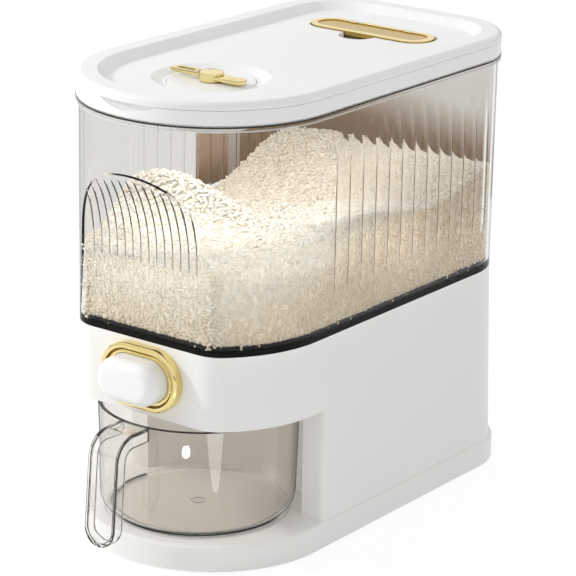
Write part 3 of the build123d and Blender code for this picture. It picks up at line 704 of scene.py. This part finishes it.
# A line of painted shade and a painted highlight line under the collar.
make_tank_line("tank_flange_line", flange_line, painted_dark_edge)
make_tank_line("tank_pale_line", pale_line, flute_glint)
make_jug()
make_ribs()
make_key()
make_spring()
make_flute_lines()
make_bezel_line()

# The rice


def heap(x, y):
    """Height of the rice at a point: a leaning level with hills on it."""
    return rice_level + rice_lean[0] * x + rice_lean[1] * y + sum(
        high * math.exp(-(((x - at_x) / wide_x) ** 2) - ((y - at_y) / wide_y) ** 2)
        for at_x, at_y, high, wide_x, wide_y in hills
    )


def wall_distance(x, y, z):
    """How far a point lies inside the tank's outer face."""
    side = abs(x)
    gaps = [tank_back - y]
    gaps.append(tank_radius - (math.hypot(x, y) if y < 0 else side))
    if side > tank_radius - tank_corner and y > tank_back - tank_corner:
        bend = math.hypot(side - tank_radius + tank_corner, y - tank_back + tank_corner)
        gaps.append(tank_corner - bend)
    if z < arch_spring:
        gaps.append(y - facet_y)
    else:
        gaps.append(math.hypot(y - facet_y + arch_curve, z - arch_spring) - arch_curve)
    return min(gaps)


def make_grain():
    """One grain: a small ball drawn out, flattened and a little blunt at one end."""
    let_go()
    bpy.ops.mesh.primitive_uv_sphere_add(segments=6, ring_count=4, radius=0.5)
    grain = bpy.context.object
    pick(grain)
    bpy.ops.object.mode_set(mode="EDIT")
    bpy.ops.mesh.select_all(action="SELECT")
    bpy.ops.transform.resize(value=(grain_thick, grain_width, grain_length))
    bpy.ops.object.mode_set(mode="OBJECT")
    points = np.array([tuple(v.co) for v in grain.data.vertices])
    middle = np.abs(points[:, 2]) > 0.2 * grain_length
    middle &= np.abs(points[:, 2]) < 0.45 * grain_length
    points[middle, 2] *= 1.12
    points[points[:, 2] > 0, 0:2] *= 0.92
    faces = [tuple(polygon.vertices) for polygon in grain.data.polygons]
    bpy.data.objects.remove(grain)
    return points, faces


grain_points, grain_faces = make_grain()


def scatter(name, places, material):
    """Copies the grain to each place: a centre, a direction to lie along, a roll and a size."""
    count = len(grain_points)
    points = np.empty((len(places) * count, 3))
    faces = []
    for i, (centre, along, roll, size) in enumerate(places):
        along = along.normalized()
        side = along.orthogonal().normalized()
        side.rotate(Matrix.Rotation(roll, 3, along))
        turn = np.array([side, along.cross(side), along])
        points[i * count : (i + 1) * count] = (grain_points * size) @ turn + np.array(centre)
        faces.extend([tuple(v + i * count for v in face) for face in grain_faces])
    mesh = bpy.data.meshes.new(name)
    mesh.from_pydata(points.tolist(), [], faces)
    mesh.shade_smooth()
    new_piece(name, mesh, material, "dispenser")


def surface_normal(x, y):
    """The direction straight out of the heap at a point."""
    step = 0.001
    slope_x = (heap(x + step, y) - heap(x - step, y)) / (2 * step)
    slope_y = (heap(x, y + step) - heap(x, y - step)) / (2 * step)
    return Vector((-slope_x, -slope_y, 1.0)).normalized()


def top_grains(pitch, lift, lean, seed):
    """Grains on the heap, in jittered rows, lying any way with some standing up a little."""
    chance = random.Random(seed)
    places = []
    x = -tank_radius
    while x < tank_radius:
        y = facet_y - 0.02
        while y < tank_back:
            px = x + chance.uniform(-0.5, 0.5) * pitch
            py = y + chance.uniform(-0.5, 0.5) * pitch
            y += pitch
            height = heap(px, py) + chance.uniform(-0.3, 1.0) * lift
            gap = wall_distance(px, py, height) - tank_wall
            if gap < grain_room:
                continue
            normal = surface_normal(px, py)
            turn = chance.uniform(0, 2 * math.pi)
            flat = Vector((math.cos(turn), math.sin(turn), 0.0))
            if gap < wall_reach:
                step = 0.0005
                toward = Vector((
                    wall_distance(px + step, py, height) - wall_distance(px - step, py, height),
                    wall_distance(px, py + step, height) - wall_distance(px, py - step, height),
                    0.0,
                ))
                flat = toward.cross(Vector((0, 0, 1)))
            along = (flat - normal * flat.dot(normal)).normalized()
            along += normal * chance.uniform(-lean, lean)
            centre = Vector((px, py, height))
            places.append((centre, along, chance.uniform(0, math.pi), chance.uniform(0.85, 1.12)))
        x += pitch
    return places


def wall_line(depth, pitch):
    """Points and inward normals round the tank, at a depth inside its outer face."""
    radius = tank_radius - depth
    back = tank_back - depth
    corner = tank_corner - depth
    front = facet_y + depth
    line = []
    half = math.sqrt(radius**2 - front**2)
    steps = int(2 * half / pitch)
    line += [
        (Vector((-half + 2 * half * i / steps, front, 0)), Vector((0, 1, 0)))
        for i in range(steps)
    ]
    start = math.atan2(front, half)
    steps = int(-start * radius / pitch)
    for i in range(steps):
        angle = start - start * i / steps
        for side in (-1, 1):
            out = Vector((side * math.cos(angle), math.sin(angle), 0))
            line.append((out * radius, -out))
    steps = int((back - corner) / pitch)
    for i in range(steps):
        y = (back - corner) * i / steps
        for side in (-1, 1):
            line.append((Vector((side * radius, y, 0)), Vector((-side, 0, 0))))
    steps = int(math.pi / 2 * corner / pitch)
    for i in range(steps):
        angle = math.pi / 2 * i / steps
        for side in (-1, 1):
            out = Vector((side * math.cos(angle), math.sin(angle), 0))
            line.append((Vector((side * (radius - corner), back - corner, 0)) + out * corner, -out))
    steps = int(2 * (radius - corner) / pitch)
    line += [
        (Vector((corner - radius + 2 * (radius - corner) * i / steps, back, 0)), Vector((0, -1, 0)))
        for i in range(steps)
    ]
    return line


def wall_grains(pitch, seed):
    """Grains pressed against the inside of the clear wall."""
    chance = random.Random(seed)
    places = []
    for place, inward in wall_line(tank_wall + grain_room, pitch):
        z = rice_bottom + chance.uniform(0, pitch)
        tangent = inward.cross(Vector((0, 0, 1)))
        while z < heap(place.x, place.y) + 0.001:
            turn = chance.uniform(-1.5, 1.5)
            along = tangent * math.cos(turn) + Vector((0, 0, 1)) * math.sin(turn)
            shift = tangent * chance.uniform(-0.5, 0.5) * pitch
            shift += inward * chance.uniform(0.0, 0.0009)
            centre = place + shift + Vector((0, 0, z))
            along += inward * chance.uniform(-0.3, 0.9)
            places.append((centre, along, chance.uniform(0, math.pi), chance.uniform(0.85, 1.1)))
            z += pitch * chance.uniform(0.8, 1.2)
    return places


def make_rice():
    """All the grains, in a few pieces of a few thousand grains each."""
    heaped = top_grains(0.0027, 0.0006, 0.25, 11) + top_grains(0.0040, 0.0016, 0.50, 12)
    against = wall_grains(0.0028, 13)
    for label, grains, material in (("top", heaped, rice_white), ("side", against, rice_side_painted_light)):
        for i in range(0, len(grains), batch):
            scatter(f"rice_{label}_grains_{i // batch + 1}", grains[i : i + batch], material)


make_rice()


# The studio and the camera

floor_glow = 1.05
floor_share = 0.84
room_light = 0.72


def seen(tree):
    """1 for rays from the eye, through clear plastic or off a mirror, and 0 for rays of light."""
    path = tree.nodes.new("ShaderNodeLightPath")
    found = path.outputs["Is Camera Ray"]
    for ray in ("Is Transmission Ray", "Is Glossy Ray"):
        either = tree.nodes.new("ShaderNodeMath")
        either.operation = "MAXIMUM"
        tree.links.new(found, either.inputs[0])
        tree.links.new(path.outputs[ray], either.inputs[1])
        found = either.outputs["Value"]
    return found


def make_floor():
    """A pale floor that keeps the dispenser's shadow and shows white."""
    let_go()
    bpy.ops.mesh.primitive_circle_add(vertices=64, radius=6.0, fill_type="NGON")
    floor = bpy.context.object
    floor.name = "studio_floor"
    finish = Finish("studio floor")
    finish.set(Base_Color=(0.93, 0.93, 0.93, 1.0), Roughness=0.9)
    glow = finish.add("ShaderNodeEmission")
    glow.inputs["Strength"].default_value = floor_glow
    part = finish.add("ShaderNodeMath", operation="MULTIPLY")
    part.inputs[1].default_value = floor_share
    finish.join(seen(finish.tree), part.inputs[0])
    paper, share = finish.blend(finish.shader.outputs["BSDF"], glow.outputs["Emission"])
    finish.join(part.outputs["Value"], share)
    finish.cover(paper)
    floor.data.materials.append(finish.material)


def make_world():
    """A white room: full white to the eye, a little less as light."""
    world = bpy.data.worlds.new("white room")
    bpy.context.scene.world = world
    world.use_nodes = True
    tree = world.node_tree
    background = tree.nodes["Background"]
    background.inputs["Color"].default_value = (1.0, 1.0, 1.0, 1.0)
    span = tree.nodes.new("ShaderNodeMapRange")
    span.inputs["To Min"].default_value = room_light
    span.inputs["To Max"].default_value = 1.0
    tree.links.new(seen(tree), span.inputs["Value"])
    tree.links.new(span.outputs["Result"], background.inputs["Strength"])


def card_finish(name, colours, ray, strength=1.0):
    """A glow that shows only to one kind of ray, shaded from the foot to the top of a card."""
    finish = Finish(name)
    split = finish.add("ShaderNodeSeparateXYZ")
    finish.join(finish.add("ShaderNodeTexCoord").outputs["UV"], split.inputs["Vector"])
    glow = finish.add("ShaderNodeEmission")
    finish.join(finish.ramp(split.outputs["Y"], *colours), glow.inputs["Color"])
    glow.inputs["Strength"].default_value = strength
    clear = finish.add("ShaderNodeBsdfTransparent")
    sheet, share = finish.blend(clear.outputs["BSDF"], glow.outputs["Emission"])
    finish.join(finish.ray(ray), share)
    finish.cover(sheet)
    return finish.material


def card(name, corners, colours, ray, strength=1.0):
    """A sheet between four corners."""
    let_go()
    bpy.ops.mesh.primitive_plane_add(size=1.0)
    sheet = bpy.context.object
    sheet.name = name
    for vertex, corner in zip(sheet.data.vertices, corners):
        vertex.co = corner
    sheet.data.materials.append(card_finish(name, colours, ray, strength))


def left_card(name, x, back, front, low, high, colours):
    """An upright card just outside the tank's left wall, seen only through the tank."""
    corners = [(x, y, z) for z in (low, high) for y in (back, front)]
    card(name, corners, colours, "Is Transmission Ray")


def make_cards():
    """Warm and grey cards behind the tank, and a dark horizon for the gilding to mirror."""
    brown = (
        (0.0, (0.13, 0.078, 0.038)),
        (0.2, (0.21, 0.13, 0.072)),
        (0.45, (0.355, 0.245, 0.16)),
        (1.0, (0.47, 0.36, 0.27)),
    )
    deep = ((0.0, (0.12, 0.07, 0.035)), (0.5, (0.22, 0.145, 0.085)), (1.0, (0.40, 0.30, 0.22)))
    pale = ((0.0, (0.28, 0.22, 0.17)), (0.5, (0.42, 0.36, 0.31)), (1.0, (0.48, 0.42, 0.37)))
    grey = ((0.0, (0.84, 0.84, 0.83)), (1.0, (0.84, 0.84, 0.83)))
    fading = (
        (0.0, (0.13, 0.08, 0.04)),
        (0.27, (0.22, 0.145, 0.085)),
        (0.42, (0.46, 0.39, 0.32)),
        (0.55, (0.66, 0.635, 0.60)),
        (1.0, (0.74, 0.73, 0.715)),
    )
    dark = ((0.0, (0.10, 0.075, 0.045)), (1.0, (0.14, 0.105, 0.065)))
    low, high = 0.212, 0.268
    left = -0.0965
    right = 0.075
    back = 0.263
    left_card("brown_card_left", left, 0.153, 0.103, low, high, brown)
    left_card("deep_card_left", left, back, 0.153, low, high, deep)
    left_card("pale_card_left", -0.0958, 0.153, 0.139, low, high, pale)
    left_card("grey_card_left", left, 0.103, -0.10, 0.17, 0.325, grey)
    behind = ((left, back, 0.215), (right, back, 0.20), (left, back, 0.330), (right, back, 0.320))
    card("brown_card_back", behind, fading, "Is Transmission Ray")
    let_go()
    bpy.ops.mesh.primitive_cylinder_add(
        vertices=64, radius=2.6, depth=0.34, end_fill_type="NOTHING", location=(0, 0, 0.48)
    )
    horizon = bpy.context.object
    horizon.name = "dark_horizon"
    horizon.data.materials.append(card_finish("dark horizon", dark, "Is Glossy Ray"))


def make_glints():
    """Low lights for the jug to mirror: a round spot and a tapered streak."""
    white = ((0.0, (1.0, 1.0, 1.0)), (1.0, (1.0, 1.0, 1.0)))
    let_go()
    bpy.ops.mesh.primitive_circle_add(vertices=32, radius=0.5, fill_type="NGON")
    spot = bpy.context.object
    spot.name = "round_glint"
    spot.scale = (0.021, 0.036, 1.0)
    spot.rotation_euler = (0.0, 0.0, math.radians(-66))
    spot.location = (0.1113, -0.2387, 0.002)
    pick(spot)
    bpy.ops.object.transform_apply(location=True, rotation=True, scale=True)
    spot.data.materials.append(card_finish("round glint", white, "Is Glossy Ray", 22.0))
    plan = ((0.146, -0.123), (0.153, -0.111), (0.222, -0.232), (0.278, -0.146))
    streak = [(x, y, 0.002) for x, y in plan]
    card("tall_glint", streak, white, "Is Glossy Ray", 3.6)


# The camera, as it was fitted to the photo's outlines
camera_place = (1.14069, -1.43804, 0.78265)
camera_right = (0.79773, 0.60273, 0.01864)
camera_up = (-0.20204, 0.23803, 0.95001)
camera_back = (0.56817, -0.76161, 0.31166)
camera_lens = 170.96

lamps = (
    # name, place, target, width, length, watts, spread in degrees
    ("key", (-1.45, -0.80, 1.16), (0.0, 0.0, 0.18), 0.22, 0.22, 19.0, 180),
    ("under lid", (0.0, 0.03, 0.2975), (0.0, 0.03, 0.0), 0.13, 0.18, 0.160, 180),
    ("in the bay", (-0.030, 0.005, 0.100), (-0.045, 0.005, 0.0), 0.05, 0.05, 0.017, 180),
    ("under lid at the back", (0.045, 0.195, 0.2975), (0.045, 0.215, 0.0), 0.06, 0.06, 0.026, 180),
    ("low beam from the right", (0.50, 0.08, 0.275), (0.0924, 0.08, 0.193), 0.30, 0.03, 0.0068, 10),
    (
        "upper beam from the right", (0.37, -0.22, 0.304), (0.087, -0.005, 0.225),
        0.23, 0.012, 0.0105, 8,
    ),
    ("beam from the front", (0.22, -0.62, 0.270), (0.015, -0.07, 0.203), 0.19, 0.035, 0.0088, 9),
)


def make_lamps():
    """Soft boxes and narrow beams that shine at their targets and aren't seen themselves."""
    for name, place, target, width, length, watts, spread in lamps:
        lamp = bpy.data.lights.new(name, "AREA")
        lamp.shape = "RECTANGLE"
        lamp.size = width
        lamp.size_y = length
        lamp.energy = watts
        lamp.spread = math.radians(spread)
        holder = bpy.data.objects.new(name, lamp)
        bpy.context.scene.collection.objects.link(holder)
        holder.visible_camera = False
        holder.visible_transmission = False
        holder.visible_glossy = False
        holder.location = place
        way = Vector(target) - Vector(place)
        holder.rotation_euler = way.to_track_quat("-Z", "Y").to_euler()


def make_camera():
    """The view: from the front right, a little above."""
    lens = bpy.data.cameras.new("view")
    lens.sensor_width = 36.0
    lens.lens = camera_lens
    lens.clip_end = 50.0
    holder = bpy.data.objects.new("view", lens)
    bpy.context.scene.collection.objects.link(holder)
    turn = Matrix((camera_right, camera_up, camera_back)).transposed().to_4x4()
    holder.matrix_world = Matrix.Translation(camera_place) @ turn
    bpy.context.scene.camera = holder


make_floor()
make_world()
make_cards()
make_glints()
make_lamps()
make_camera()
bpy.context.scene.view_settings.view_transform = "Standard"
